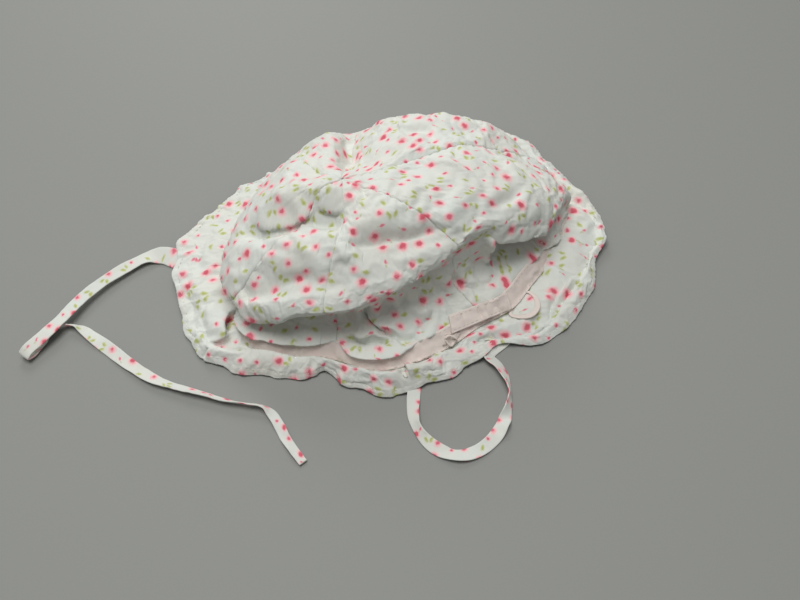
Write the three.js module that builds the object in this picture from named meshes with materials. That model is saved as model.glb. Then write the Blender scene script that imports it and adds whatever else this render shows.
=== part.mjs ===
// A baby's cotton sun hat, lying crumpled on a flat surface: six crown gores, a tape over the head
// seam, a soft brim and two ties. Millimetres, +Z up, and z = 0 is the surface that the hat lies on.
// The hat's right is +X, and its front, where the crown slumps over in a roll, faces -Y.

import * as THREE from "three";

// Driving sizes
const cloth = 1.5; // crown wall, two layers of cotton and air
const brimWall = 1.6; // doubled and stitched brim
const tapeWall = 1.0;
const tapeWidth = 10.7;
const tieWidth = 6.6;
const tieWall = 2;
const gap = 0.3; // between pieces that are sewn together
const headGap = 0.6; // between the gathered crown and the brim, under the tape
const tapeSlope = 38; // degrees
const lowestFoot = 1.8; // the tape's foot, so that the brim's wall stays clear of the surface
const crownPoint = { x: -24.3, y: -6.1, z: 60.7 };

// Facets
const roundSteps = 96; // round the brim and the tape
const goreColumns = 16;
const tieSteps = 72;

// Stations of a section, counted from the crown point at 0. The dome is 1, the roll 2, its lip 3,
// the tuck 4, the brim's puff 8, its groove 9 and its band 10.
const rollStation = 2;
const tapeTop = 5;
const headSeam = 6;
const tapeFoot = 7;
const hemStation = 11;

// A table has named columns and a row for each section. It repeats every 360 degrees of its first
// column, the direction in which the section runs out from the crown point, and is smooth between.
function table(columns, rows) {
  return { columns, rows };
}

// The crown in section, from the crown point outwards: its dome, the roll where its top turns over,
// the lip of that roll, the tuck under the lip, and the head seam. out is measured from the crown
// point, up from the surface.
const crownSections = table(
  [
    "direction", "dome_up", "roll_out", "roll_up", "lip_out", "lip_up",
    "tuck_out", "tuck_up", "head_out", "head_up",
  ],
  [
    [0, 59, 92, 46, 108.5, 32, 101, 16.5, 111.5, 9.2],
    [12, 58, 92, 46, 117, 26, 118.5, 16.5, 124, 11],
    [24, 58, 73.5, 50.5, 103, 32, 112, 18.5, 119.5, 12],
    [42, 57, 89, 48, 104, 35, 105, 21, 109.5, 11],
    [56, 56, 66, 55, 77.5, 43, 80, 23, 83, 9.2],
    [70, 54.5, 55, 55, 63.5, 42.5, 65.5, 22, 68, 8.3],
    [87, 49.5, 42.5, 48, 52.5, 39.5, 56, 22, 60, 8.3],
    [102, 53.5, 42.5, 51.5, 51.5, 42.5, 54.5, 22, 57, 8.3],
    [125, 52.5, 42.5, 43, 56, 28.5, 52.5, 17.5, 56, 9.2],
    [150, 53.5, 38.5, 44, 55, 25, 49.5, 15.5, 53.5, 8.3],
    [180, 55, 44, 41.5, 60.5, 21, 53.5, 14.5, 58, 7.4],
    [205, 52.5, 55, 36, 71, 19.5, 62.5, 13.5, 67, 6.4],
    [226, 50.5, 66, 30.5, 72, 21, 64.5, 12.5, 71, 6.4],
    [240, 51.5, 61.5, 34, 65.5, 23, 57, 13, 72, 5.5],
    [251, 52.5, 57, 36, 60.5, 26.5, 53.5, 14, 67, 5.5],
    [264, 53.5, 54.5, 37, 58, 28.5, 51.5, 14, 64.5, 5.5],
    [282, 56, 53, 39.5, 55, 30, 50.5, 14.5, 73.5, 6.4],
    [302, 59, 52.5, 43, 54, 34, 55, 18.5, 76.5, 6.4],
    [325, 60.5, 58, 46, 58, 37, 64.5, 18.5, 82, 7.4],
    [336, 60.5, 63.5, 48, 64, 38.5, 70, 18.5, 92, 8.3],
    [347, 60, 73.5, 49, 77.5, 40.5, 78, 18.5, 98.5, 9.2],
  ],
);

// The brim in section, from the tape outwards: its inner part, the groove along its inner stitching,
// the rolled outer band and the hem.
const brimSections = table(
  ["direction", "puff_up", "groove_out", "groove_up", "band_up", "hem_out", "hem_up"],
  [
    [2, 8.3, 137, 4.6, 5.5, 141, 3.7],
    [9, 11, 138, 7.4, 8.3, 144.5, 6.4],
    [18, 11, 130.5, 6.4, 8.3, 140, 4.6],
    [30, 9.2, 123.5, 5.5, 9.2, 136, 4.6],
    [46, 8.3, 118, 4.6, 9.2, 132.5, 4.6],
    [66, 6.4, 94, 2.8, 2.8, 112, 0.8],
    [80, 4.6, 83.5, 0.3, 0.3, 103, 0.7],
    [97, 4.6, 77.5, 0.3, 0.3, 94, 0.7],
    [112, 7.4, 72.5, 4.6, 5.5, 83, 1.2],
    [125, 10.1, 69, 7.4, 6.4, 75, 3.7],
    [142, 11, 70, 8.3, 6.4, 80, 3.7],
    [160, 11, 70, 8.3, 6.4, 84, 3.7],
    [174, 9.2, 77.5, 7.4, 5.5, 93, 4.1],
    [190, 8.3, 83, 6.4, 5.5, 95, 4.1],
    [206, 7.4, 84.5, 5.5, 4.6, 95, 1.8],
    [216, 6.4, 87.5, 4.6, 4.6, 98.5, 1],
    [224, 3.7, 86.5, 3.2, 6.4, 97, 1],
    [232, 3.2, 82, 2.8, 7.4, 94, 0.8],
    [243, 3.2, 79, 2.8, 7.4, 86.5, 0.8],
    [254, 3.2, 75.5, 2.8, 7.4, 82.5, 0.8],
    [263, 3.3, 72, 4.6, 6.4, 76.5, 1],
    [274, 4, 78, 5.5, 7.4, 84.5, 1.4],
    [285, 4.6, 83.5, 5.5, 7.4, 93, 3.1],
    [298, 5.5, 85.5, 5.5, 7.4, 93, 4],
    [308, 5.5, 86.5, 6.4, 6.4, 96, 1],
    [320, 6.4, 91, 3.7, 4.6, 98.5, 3.7],
    [330, 7.4, 109.5, 3.7, 4.6, 117, 1],
    [342, 8.3, 118, 4.1, 5.5, 129, 1],
    [352, 8.3, 126, 4.6, 5.5, 135, 1],
  ],
);

// The six seams of the crown: the direction of each at the crown point, over the roll and at the
// head seam. A gore lies between each and the next.
const crownSeams = table(
  ["top", "roll", "head"],
  [
    [20, 26, 24],
    [83, 85, 86],
    [150, 130, 134],
    [221, 221, 208],
    [276, 262, 269],
    [334, 334, 326],
  ],
);

// Folds over the top of the crown: a ridge or a valley along a straight line in plan, measured from
// the crown point, with its half width and how far it lifts the cloth.
const topFolds = table(
  ["from_x", "from_y", "to_x", "to_y", "half_width", "lift"],
  [
    [3.7, 48, 5.5, 18.5, 8.3, -6.4],
    [-31.5, -4.6, -11, -7.4, 8.3, 4.6],
    [-46, -13, -3.7, -19.5, 7, -5.5],
    [-27.5, 20, -13, 18.5, 9.2, 2.8],
    [-44, -46, -3.7, -49.5, 6, -2.3],
    [11, -34, 57, -26, 6.4, -3.7],
    [20, 31.5, 57, 29.5, 13, 2.8],
    [55, 13, 84.5, 20, 8.3, 2.8],
    [-35, -33, 1.8, -37, 7.4, 1.8],
  ],
);

// Gathers where the crown is drawn into the head seam, and the puckers of the brim: a row for each
// stretch, with the number of gathers in it and how deep they are.
const headGathers = table(
  ["from", "to", "count", "depth"],
  [
    [2, 46, 4, 2.8],
    [210, 262, 4, 1.8],
    [268, 322, 5, 3.7],
    [326, 360, 3, 2.8],
  ],
);
const hemRuffle = { out: 0.7, up: 0.6, counts: [23, 31] };

// Where along a section each kind of relief grows to its full size and where it fades out again.
const gatherReach = { from: 3, grown: 4.2, fading: 4.35, to: 4.95 };
const foldReach = { from: 0, grown: 0.3, fading: 2.1, to: 2.9 };
const ruffleReach = { from: 8, grown: 11 };
const gatherFade = 0.2; // share of a stretch of gathers over which they grow at each end

const radians = Math.PI / 180;
const turn = 360;

// Grows smoothly from 0 at `from` to 1 at `to`, which may also be the lower of the two.
function ramp(x, from, to) {
  const t = Math.min(1, Math.max(0, (x - from) / (to - from)));
  return t * t * (3 - 2 * t);
}

function within(place, { from, grown, fading, to }) {
  return ramp(place, from, grown) * ramp(place, to, fading);
}

function hermite(a, slopeA, b, slopeB, span, t) {
  const t2 = t * t;
  const t3 = t2 * t;
  return (
    (2 * t3 - 3 * t2 + 1) * a +
    (t3 - 2 * t2 + t) * span * slopeA +
    (3 * t2 - 2 * t3) * b +
    (t3 - t2) * span * slopeB
  );
}

// A row of the table at any direction, as an object with the columns' names.
function sectionAt({ columns, rows }, direction) {
  const count = rows.length;
  const angle = ((direction - rows[0][0]) % turn + turn) % turn + rows[0][0];
  let low = 0;
  while (low + 1 < count && rows[low + 1][0] <= angle) low += 1;
  const row = (k) => rows[(k + count) % count];
  const place = (k) => row(k)[0] + turn * Math.floor(k / count);
  const span = place(low + 1) - place(low);
  const t = (angle - place(low)) / span;
  const section = {};
  columns.slice(1).forEach((name, index) => {
    const column = index + 1;
    const slope = (k) =>
      (row(k + 1)[column] - row(k - 1)[column]) / (place(k + 1) - place(k - 1));
    section[name] = hermite(
      row(low)[column], slope(low), row(low + 1)[column], slope(low + 1), span, t,
    );
  });
  return section;
}

// The stations of one section from the crown point to the hem, as [out, up] pairs. The head seam is
// in the middle of the sloping tape.
function stationsAt(direction) {
  const crown = sectionAt(crownSections, direction);
  const brim = sectionAt(brimSections, direction);
  const halfOut = (tapeWidth / 2) * Math.cos(tapeSlope * radians);
  const halfUp = (tapeWidth / 2) * Math.sin(tapeSlope * radians);
  const footUp = Math.max(crown.head_up - halfUp, lowestFoot);
  const footOut = crown.head_out + halfOut;
  return [
    [0, crownPoint.z],
    [crown.roll_out / 2, crown.dome_up],
    [crown.roll_out, crown.roll_up],
    [crown.lip_out, crown.lip_up],
    [crown.tuck_out, crown.tuck_up],
    [crown.head_out - halfOut, crown.head_up + halfUp],
    [crown.head_out, crown.head_up],
    [footOut, footUp],
    [(footOut + brim.groove_out) / 2, brim.puff_up],
    [brim.groove_out, brim.groove_up],
    [(brim.groove_out + brim.hem_out) / 2, brim.band_up],
    [brim.hem_out, brim.hem_up],
  ];
}

// A smooth line through the stations, at a place such as 2.5, half way from station 2 to 3.
function alongStations(stations, place) {
  const last = stations.length - 1;
  const low = Math.min(last - 1, Math.max(0, Math.floor(place)));
  const lengths = stations.map((station, k) =>
    k === 0 ? 0 : Math.hypot(station[0] - stations[k - 1][0], station[1] - stations[k - 1][1]),
  );
  const slope = (k, axis) => {
    const before = Math.max(0, k - 1);
    const after = Math.min(last, k + 1);
    let span = 0;
    for (let i = before + 1; i <= after; i += 1) span += lengths[i];
    return (stations[after][axis] - stations[before][axis]) / span;
  };
  const flatTop = low === 0 ? 0 : slope(low, 1);
  const t = place - low;
  const span = lengths[low + 1];
  return [
    hermite(stations[low][0], slope(low, 0), stations[low + 1][0], slope(low + 1, 0), span, t),
    hermite(stations[low][1], flatTop, stations[low + 1][1], slope(low + 1, 1), span, t),
  ];
}

function foldLift(x, y) {
  let lift = 0;
  for (const [fromX, fromY, toX, toY, halfWidth, rise] of topFolds.rows) {
    const alongX = toX - fromX;
    const alongY = toY - fromY;
    const length = Math.hypot(alongX, alongY);
    const along = ((x - fromX) * alongX + (y - fromY) * alongY) / length;
    const past = Math.max(0, -along, along - length);
    const across = ((x - fromX) * alongY - (y - fromY) * alongX) / length;
    lift += rise * Math.exp(-(across * across + past * past) / (halfWidth * halfWidth));
  }
  return lift;
}

function gatherDepth(direction) {
  const angle = ((direction % turn) + turn) % turn;
  let depth = 0;
  for (const [from, to, count, deep] of headGathers.rows) {
    const share = (angle - from) / (to - from);
    if (share > 0 && share < 1) {
      const ends = ramp(share, 0, gatherFade) * ramp(share, 1, 1 - gatherFade);
      depth += (deep * ends * (1 - Math.cos(share * count * 2 * Math.PI))) / 2;
    }
  }
  return depth;
}

// The middle of the cloth: the point of the hat's surface at a direction and a station.
function clothPoint(direction, place) {
  const stations = stationsAt(direction);
  let [out, up] = alongStations(stations, place);
  const towardHem = ramp(place, ruffleReach.from, ruffleReach.grown);
  const [slow, quick] = hemRuffle.counts.map((count) => Math.sin(direction * radians * count));
  out += hemRuffle.out * (slow + quick) * towardHem;
  up += hemRuffle.up * slow * quick * towardHem;
  out -= gatherDepth(direction) * within(place, gatherReach);
  const x = out * Math.cos(direction * radians);
  const y = out * Math.sin(direction * radians);
  up += foldLift(x, y) * within(place, foldReach);
  return new THREE.Vector3(crownPoint.x + x, crownPoint.y + y, up);
}

// The outward normal of a surface given as a function of a direction and a place.
function outward(surface, direction, place) {
  const turnStep = 0.4;
  const placeStep = 0.03;
  const round = surface(direction + turnStep, place).sub(surface(direction - turnStep, place));
  const along = surface(direction, place + placeStep).sub(surface(direction, place - placeStep));
  return along.cross(round).normalize();
}

// A closed wall from a grid of middle points and their normals. The two faces lie at `inner` and
// `outer` from the middle, and the cloth is pressed flat where it would reach below the surface.
function wallGeometry(grid, inner, outer, closedRound) {
  const rows = grid.length;
  const columns = grid[0].length;
  const positions = [];
  for (const [offset, floor] of [[outer, outer - inner], [inner, 0]]) {
    for (const row of grid) {
      for (const { point, normal } of row) {
        const place = point.clone().addScaledVector(normal, offset);
        positions.push(place.x, place.y, Math.max(place.z, floor));
      }
    }
  }
  const outerAt = (i, j) => i * columns + (closedRound ? j % columns : j);
  const innerAt = (i, j) => rows * columns + outerAt(i, j);
  const faces = [];
  const quad = (a, b, c, d) => faces.push(a, b, c, a, c, d);
  const lastColumn = closedRound ? columns : columns - 1;
  for (let i = 0; i < rows - 1; i += 1) {
    for (let j = 0; j < lastColumn; j += 1) {
      quad(outerAt(i, j), outerAt(i + 1, j), outerAt(i + 1, j + 1), outerAt(i, j + 1));
      quad(innerAt(i, j), innerAt(i, j + 1), innerAt(i + 1, j + 1), innerAt(i + 1, j));
    }
  }
  for (let j = 0; j < lastColumn; j += 1) {
    quad(outerAt(0, j), outerAt(0, j + 1), innerAt(0, j + 1), innerAt(0, j));
    quad(outerAt(rows - 1, j), innerAt(rows - 1, j), innerAt(rows - 1, j + 1), outerAt(rows - 1, j + 1));
  }
  if (!closedRound) {
    for (let i = 0; i < rows - 1; i += 1) {
      quad(outerAt(i, 0), innerAt(i, 0), innerAt(i + 1, 0), outerAt(i + 1, 0));
      quad(
        outerAt(i, columns - 1), outerAt(i + 1, columns - 1),
        innerAt(i + 1, columns - 1), innerAt(i, columns - 1),
      );
    }
  }
  const geometry = new THREE.BufferGeometry();
  geometry.setAttribute("position", new THREE.Float32BufferAttribute(positions, 3));
  geometry.setIndex(faces);
  geometry.computeVertexNormals();
  return geometry;
}

// The place of a station moved by a distance along the cloth, near the head seam.
function besideSeam(distance) {
  return headSeam + distance / (tapeWidth / 2);
}

// A crown seam's direction at a place between the crown point and the head seam.
function seamDirection(seam, place) {
  const [top, roll, head] = seam;
  return place < rollStation
    ? top + (roll - top) * ramp(place, 0, rollStation)
    : roll + (head - roll) * ramp(place, rollStation, headSeam);
}

// The gores start just off the crown point, where their tips meet.
const goreTip = 0.06;
const gorePlaces = [
  goreTip, 0.35, 0.65, 1, 1.3, 1.65, 2, 2.5, 3, 3.6, 4.3, 5, besideSeam(-headGap / 2),
];

function crownPanel(index) {
  const seams = crownSeams.rows;
  const start = seams[index];
  const end = seams[(index + 1) % seams.length];
  const wrap = index + 1 === seams.length ? turn : 0;
  const grid = gorePlaces.map((place) => {
    const from = seamDirection(start, place);
    const to = seamDirection(end, place) + wrap;
    const out = alongStations(stationsAt(from), place)[0];
    const margin = gap / 2 / out / radians;
    const row = [];
    for (let j = 0; j <= goreColumns; j += 1) {
      const direction = from + margin + ((to - from - 2 * margin) * j) / goreColumns;
      row.push({
        point: clothPoint(direction, place),
        normal: outward(clothPoint, direction, place),
      });
    }
    return row;
  });
  return wallGeometry(grid, -cloth / 2, cloth / 2, false);
}

function ringGrid(places) {
  return places.map((place) => {
    const row = [];
    for (let j = 0; j < roundSteps; j += 1) {
      const direction = (turn * j) / roundSteps;
      row.push({
        point: clothPoint(direction, place),
        normal: outward(clothPoint, direction, place),
      });
    }
    return row;
  });
}

const brimPlaces = [besideSeam(headGap / 2), 7, 8, 9, 10, 10.5, hemStation];

function brim() {
  return wallGeometry(ringGrid(brimPlaces), -brimWall / 2, brimWall / 2, true);
}

const underTape = brimWall / 2 + gap;

function headTape() {
  return wallGeometry(ringGrid([tapeTop, headSeam, tapeFoot]), underTape, underTape + tapeWall, true);
}

// The tape's two ends lap over each other at the front right, as one short layer on the ring.
const lap = { from: 313, to: 333, columns: 8 };

function tapeLap() {
  const grid = [tapeTop, headSeam, tapeFoot].map((place) => {
    const row = [];
    for (let j = 0; j <= lap.columns; j += 1) {
      const direction = lap.from + ((lap.to - lap.from) * j) / lap.columns;
      row.push({
        point: clothPoint(direction, place),
        normal: outward(clothPoint, direction, place),
      });
    }
    return row;
  });
  const underLap = underTape + tapeWall + gap;
  return wallGeometry(grid, underLap, underLap + tapeWall, false);
}

// A tie is a folded strip of the print: a flat eight-sided section, drawn along its route.
const tieBevel = 0.35; // share of its thickness

function tie(route) {
  const bevel = tieWall * tieBevel;
  const halfWidth = tieWidth / 2;
  const halfWall = tieWall / 2;
  const section = new THREE.Shape([
    new THREE.Vector2(-halfWall, -halfWidth + bevel),
    new THREE.Vector2(-halfWall + bevel, -halfWidth),
    new THREE.Vector2(halfWall - bevel, -halfWidth),
    new THREE.Vector2(halfWall, -halfWidth + bevel),
    new THREE.Vector2(halfWall, halfWidth - bevel),
    new THREE.Vector2(halfWall - bevel, halfWidth),
    new THREE.Vector2(-halfWall + bevel, halfWidth),
    new THREE.Vector2(-halfWall, halfWidth - bevel),
  ]);
  const points = route.map(([x, y, z]) => new THREE.Vector3(x, y, z));
  const extrudePath = new THREE.CatmullRomCurve3(points, false, "centripetal");
  return new THREE.ExtrudeGeometry(section, { steps: tieSteps, extrudePath, bevelEnabled: false });
}

// The left tie leaves the head seam under the brim, runs out to a fold and comes back under itself.
const flat = 1.2; // the middle of a tie that lies on the surface
const leftRoute = [
  [-90.9, -28.8, 1.4],
  [-101, -21.9, 1.3],
  [-111.1, -14.6, 1.4],
  [-119.4, -9.8, 1.3],
  [-126.8, -7.9, 1.6],
  [-134.1, -9.1, 2.2],
  [-142.9, -15.2, 2.9],
  [-155.7, -28.1, 4],
  [-163.6, -38.9, 4.8],
  [-170.9, -52.7, 5.5],
  [-178, -64.1, 5.8],
  [-183.1, -71.1, 5.5],
  [-184.9, -73.5, 3.5],
  [-183.1, -71.1, 1.6],
  [-179.7, -64.2, 1.3],
  [-175.1, -57.8, flat],
  [-170.9, -54.7, flat],
  [-166.3, -53.9, flat],
  [-161.3, -55.3, flat],
  [-153.5, -60.8, flat],
  [-143.8, -67.8, flat],
  [-131.1, -77.2, flat],
  [-117.6, -85.5, flat],
  [-106.5, -89.7, flat],
  [-91.8, -94.1, flat],
  [-81.2, -97.4, flat],
  [-70.2, -99.6, flat],
  [-62.8, -100.6, flat],
  [-58.2, -103.8, flat],
  [-53.3, -110.8, flat],
  [-49.9, -117, flat],
  [-45.6, -123.1, flat],
  [-40.5, -129.6, flat],
];

// The right tie runs under the brim to the front, shows as one loop, and its free end lies inside.
const rightRoute = [
  [82.1, -20.5, 4],
  [75.6, -32.5, 2.2],
  [68.3, -46.3, 1.4],
  [59.1, -60.1, flat],
  [49.1, -71.9, flat],
  [53.5, -78, flat],
  [56.7, -85.2, flat],
  [58, -93.6, flat],
  [56.5, -101.5, flat],
  [53.2, -110.3, flat],
  [47.9, -118, flat],
  [40.6, -123.6, flat],
  [31.6, -125.8, flat],
  [22.8, -123.1, flat],
  [16.4, -118, flat],
  [12.4, -111.9, flat],
  [10.7, -105, flat],
  [10.7, -97.4, flat],
  [11.4, -89.7, flat],
  [11.7, -78.5, flat],
  [9.4, -66.5, flat],
  [2.9, -56.4, flat],
  [-7.2, -50, flat],
  [-19.1, -47.2, flat],
  [-32, -46.3, flat],
  [-44.9, -43.5, flat],
  [-55.9, -37.1, flat],
  [-63.3, -27.9, flat],
];

const printedCotton = { color: 0xdfe5dc, roughness: 0.9, metalness: 0 };
const creamTape = { color: 0xded3cc, roughness: 0.85, metalness: 0 };

const hat = new THREE.Group();

function sew(name, geometry, finish) {
  const mesh = new THREE.Mesh(geometry, new THREE.MeshStandardMaterial(finish));
  mesh.name = name;
  hat.add(mesh);
}

crownSeams.rows.forEach((_, index) => {
  sew(`crown_panel_${index + 1}`, crownPanel(index), printedCotton);
});
sew("head_tape", headTape(), creamTape);
sew("tape_lap", tapeLap(), creamTape);
sew("brim", brim(), printedCotton);
sew("tie_left", tie(leftRoute), printedCotton);
sew("tie_right", tie(rightRoute), printedCotton);

export default hat;
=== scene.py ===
# A baby's sun hat of thin printed cotton, lying crumpled on a pale surface with its two ties loose.
# The hat's surface is worked out in millimetres from its solids' sections. Some rows at the right and
# along the front are a few millimetres off those, for deeper folds. Every Blender object is in metres.

import math

import bmesh
import bpy
import numpy as np
from mathutils import Matrix, Vector


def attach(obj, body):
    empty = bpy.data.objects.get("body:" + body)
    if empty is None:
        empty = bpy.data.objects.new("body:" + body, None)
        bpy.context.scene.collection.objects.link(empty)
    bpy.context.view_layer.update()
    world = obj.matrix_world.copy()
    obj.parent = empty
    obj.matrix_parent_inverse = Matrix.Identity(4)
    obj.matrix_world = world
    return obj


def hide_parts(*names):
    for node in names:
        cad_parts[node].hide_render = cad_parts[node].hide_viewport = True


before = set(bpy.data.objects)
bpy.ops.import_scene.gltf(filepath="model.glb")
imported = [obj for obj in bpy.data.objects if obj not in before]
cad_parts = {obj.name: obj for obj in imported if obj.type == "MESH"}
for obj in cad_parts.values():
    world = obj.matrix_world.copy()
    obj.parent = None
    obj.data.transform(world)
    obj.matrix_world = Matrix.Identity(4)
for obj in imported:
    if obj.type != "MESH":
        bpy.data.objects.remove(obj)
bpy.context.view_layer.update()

MM = 0.001
TURN = 360.0

# Sizes of the hat, in millimetres
CROWN_POINT = np.array([-24.3, -6.1, 60.7])
TAPE_WIDTH = 10.7
TAPE_SLOPE = math.radians(38)
LOWEST_FOOT = 1.8
TIE_WIDTH = 6.6
TIE_THICKNESS = 0.9
COTTON = 0.5  # one layer of the print, drawn a little thick
TAPE_THICKNESS = 0.7
BRIM_STEP = 5.2  # about the distance from one station of the brim to the next

# Camera: the photograph is 800 by 600 and looks down at the hat at 55 degrees
CAMERA_TARGET = (4.25, -36.5, 0.0)
CAMERA_DISTANCE = 414.9
CAMERA_ELEVATION = math.radians(55)
LENS = 35.0
SENSOR = 36.0

# Stations of a section, counted from the crown point at 0: dome 1, roll 2, lip 3, tuck 4, top edge
# of the tape 5, head seam 6, foot of the tape 7, puff 8, groove 9, band 10 and hem 11
HEAD_SEAM = 6
HEM = 11

CROWN_SECTIONS = (
    ("direction", "dome_up", "roll_out", "roll_up", "lip_out", "lip_up",
     "tuck_out", "tuck_up", "head_out", "head_up"),
    (
        (0, 59, 92, 46, 108.5, 32, 101, 16.5, 111.5, 9.2),
        (12, 58, 92, 46, 119, 28, 126, 18, 124, 11),
        (24, 58, 73.5, 50.5, 105, 33, 122, 19, 119.5, 12),
        (42, 57, 89, 48, 104, 35, 111, 18, 109.5, 11),
        (56, 56, 66, 55, 77.5, 43, 80, 23, 83, 9.2),
        (70, 54.5, 55, 55, 63.5, 42.5, 65.5, 22, 68, 8.3),
        (87, 49.5, 42.5, 48, 52.5, 39.5, 56, 22, 60, 8.3),
        (102, 53.5, 42.5, 51.5, 51.5, 42.5, 54.5, 22, 57, 8.3),
        (125, 52.5, 42.5, 43, 56, 28.5, 54, 16.5, 56, 9.2),
        (150, 53.5, 38.5, 44, 55, 25, 51.5, 15, 53.5, 8.3),
        (180, 55, 44, 41.5, 60.5, 21, 55.5, 14, 57, 7.4),
        (205, 52.5, 55, 36, 70, 19.5, 63, 13, 64, 6.4),
        (217, 51.5, 61, 33, 72, 20, 62, 12.5, 65.5, 6.4),
        (228, 50.5, 66, 30.5, 72, 21, 61, 12.5, 72, 6.2),
        (240, 51.5, 61.5, 34, 67, 25, 57, 13, 72, 5.5),
        (251, 52.5, 57, 36.5, 63, 29.5, 53, 14, 67, 5.5),
        (264, 53.5, 54.5, 38, 60.5, 31.5, 50, 14, 64.5, 5.5),
        (282, 56, 53, 40.5, 57.5, 33, 50.5, 14.5, 73.5, 6.4),
        (302, 59, 52.5, 43.5, 56.5, 36.5, 55, 18.5, 76.5, 6.4),
        (325, 60.5, 58, 46.5, 60, 39, 64.5, 18.5, 82, 7.4),
        (336, 60.5, 63.5, 48, 64, 38.5, 70, 18.5, 92, 8.3),
        (347, 60, 73.5, 49, 77.5, 40.5, 78, 18.5, 98.5, 9.2),
    ),
)

BRIM_SECTIONS = (
    ("direction", "puff_up", "groove_out", "groove_up", "band_up", "hem_out", "hem_up"),
    (
        (2, 8.3, 137, 4.6, 5.5, 141, 3.7),
        (9, 11, 138, 7.4, 8.3, 144.5, 6.4),
        (18, 11, 130.5, 6.4, 8.3, 140, 4.6),
        (30, 9.2, 123.5, 5.5, 9.2, 136, 4.6),
        (46, 8.3, 118, 4.6, 9.2, 132.5, 4.6),
        (66, 6.4, 94, 2.8, 2.8, 112, 0.8),
        (80, 4.6, 83.5, 0.3, 0.3, 103, 0.7),
        (97, 4.6, 77.5, 0.3, 0.3, 94, 0.7),
        (112, 7.4, 72.5, 4.6, 5.5, 83, 1.2),
        (125, 10.1, 69, 7.4, 6.4, 75, 3.7),
        (142, 11, 70, 8.3, 6.4, 80, 3.7),
        (160, 11, 70, 8.3, 6.4, 84, 3.7),
        (174, 9.2, 77.5, 7.4, 5.5, 93, 4.1),
        (190, 8.3, 83, 6.4, 5.5, 95, 4.1),
        (206, 7.4, 84.5, 5.5, 4.6, 95, 1.8),
        (216, 6.4, 87.5, 4.6, 4.6, 98.5, 1),
        (224, 3.7, 86.5, 3.2, 6.4, 97, 1),
        (232, 4.6, 82, 6, 6.8, 94, 0.8),
        (243, 5.5, 78.5, 8, 6.8, 86.5, 0.8),
        (254, 5.5, 75, 8, 6.4, 82.5, 0.8),
        (263, 5, 71.5, 7.4, 6, 76.5, 1),
        (274, 4.6, 77, 9, 5.8, 84.5, 0.9),
        (285, 5.6, 83.5, 10.4, 6.6, 92, 1.4),
        (298, 6, 85, 9.4, 6.4, 92.5, 2),
        (308, 5.5, 85.5, 7.4, 6, 96, 1),
        (320, 6.4, 91, 3.7, 4.6, 98.5, 3.7),
        (330, 7.4, 109.5, 3.7, 4.6, 117, 1),
        (342, 8.3, 118, 4.1, 5.5, 129, 1),
        (352, 8.3, 126, 4.6, 5.5, 135, 1),
    ),
)

# Each crown seam's direction at the crown point, over the roll and at the head seam
CROWN_SEAMS = (
    (20, 26, 24),
    (83, 85, 86),
    (150, 130, 134),
    (221, 221, 208),
    (276, 262, 269),
    (334, 334, 326),
)

# Broad folds over the top, in millimetres from the crown point: from x and y, to x and y, half
# width and lift
TOP_FOLDS = (
    (3.7, 48, 5.5, 18.5, 8.3, -6.4),
    (-31.5, -4.6, -11, -7.4, 8.3, 4.6),
    (-46, -13, -3.7, -19.5, 7, -5.5),
    (-27.5, 20, -13, 18.5, 9.2, 2.8),
    (-44, -46, -3.7, -49.5, 6, -2.3),
    (11, -34, 57, -26, 6.4, -3.7),
    (20, 31.5, 57, 29.5, 13, 2.8),
    (55, 13, 84.5, 20, 8.3, 2.8),
    (-35, -33, 1.8, -37, 7.4, 1.8),
)

# Gathers above the head seam: first and last direction, count and depth
HEAD_GATHERS = (
    (2, 46, 4, 2.8),
    (210, 262, 4, 1.8),
    (268, 322, 5, 3.7),
    (326, 360, 3, 2.8),
)


# Camera and ties' routes


def add_object(name, data):
    """A new object in the scene."""
    thing = bpy.data.objects.new(name, data)
    bpy.context.scene.collection.objects.link(thing)
    return thing


def make_camera():
    camera = add_object("camera", bpy.data.cameras.new("camera"))
    camera.data.lens = LENS
    camera.data.sensor_width = SENSOR
    camera.data.clip_start = 0.01
    target = Vector(CAMERA_TARGET) * MM
    back = Vector((0, -math.cos(CAMERA_ELEVATION), math.sin(CAMERA_ELEVATION)))
    camera.location = target + back * CAMERA_DISTANCE * MM
    camera.rotation_euler = (math.pi / 2 - CAMERA_ELEVATION, 0, 0)
    bpy.context.scene.camera = camera


make_camera()

FLAT = 1.2  # the middle of a tie that lies on the surface

# Each tie's route as its solid has it, in millimetres
LEFT_ROUTE = (
    (-90.9, -28.8, 1.4), (-101, -21.9, 1.3), (-111.1, -14.6, 1.4), (-119.4, -9.8, 1.3),
    (-126.8, -7.9, 1.6), (-134.1, -9.1, 2.2), (-142.9, -15.2, 2.9), (-155.7, -28.1, 4),
    (-163.6, -38.9, 4.8), (-170.9, -52.7, 5.5), (-178, -64.1, 5.8), (-183.1, -71.1, 5.5),
    (-184.9, -73.5, 3.5), (-183.1, -71.1, 1.6), (-179.7, -64.2, 1.3), (-175.1, -57.8, FLAT),
    (-170.9, -54.7, FLAT), (-166.3, -53.9, FLAT), (-161.3, -55.3, FLAT), (-153.5, -60.8, FLAT),
    (-143.8, -67.8, FLAT), (-131.1, -77.2, FLAT), (-117.6, -85.5, FLAT), (-106.5, -89.7, FLAT),
    (-91.8, -94.1, FLAT), (-81.2, -97.4, FLAT), (-70.2, -99.6, FLAT), (-62.8, -100.6, FLAT),
    (-58.2, -103.8, FLAT), (-53.3, -110.8, FLAT), (-49.9, -117, FLAT), (-45.6, -123.1, FLAT),
    (-40.5, -129.6, FLAT),
)
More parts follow.
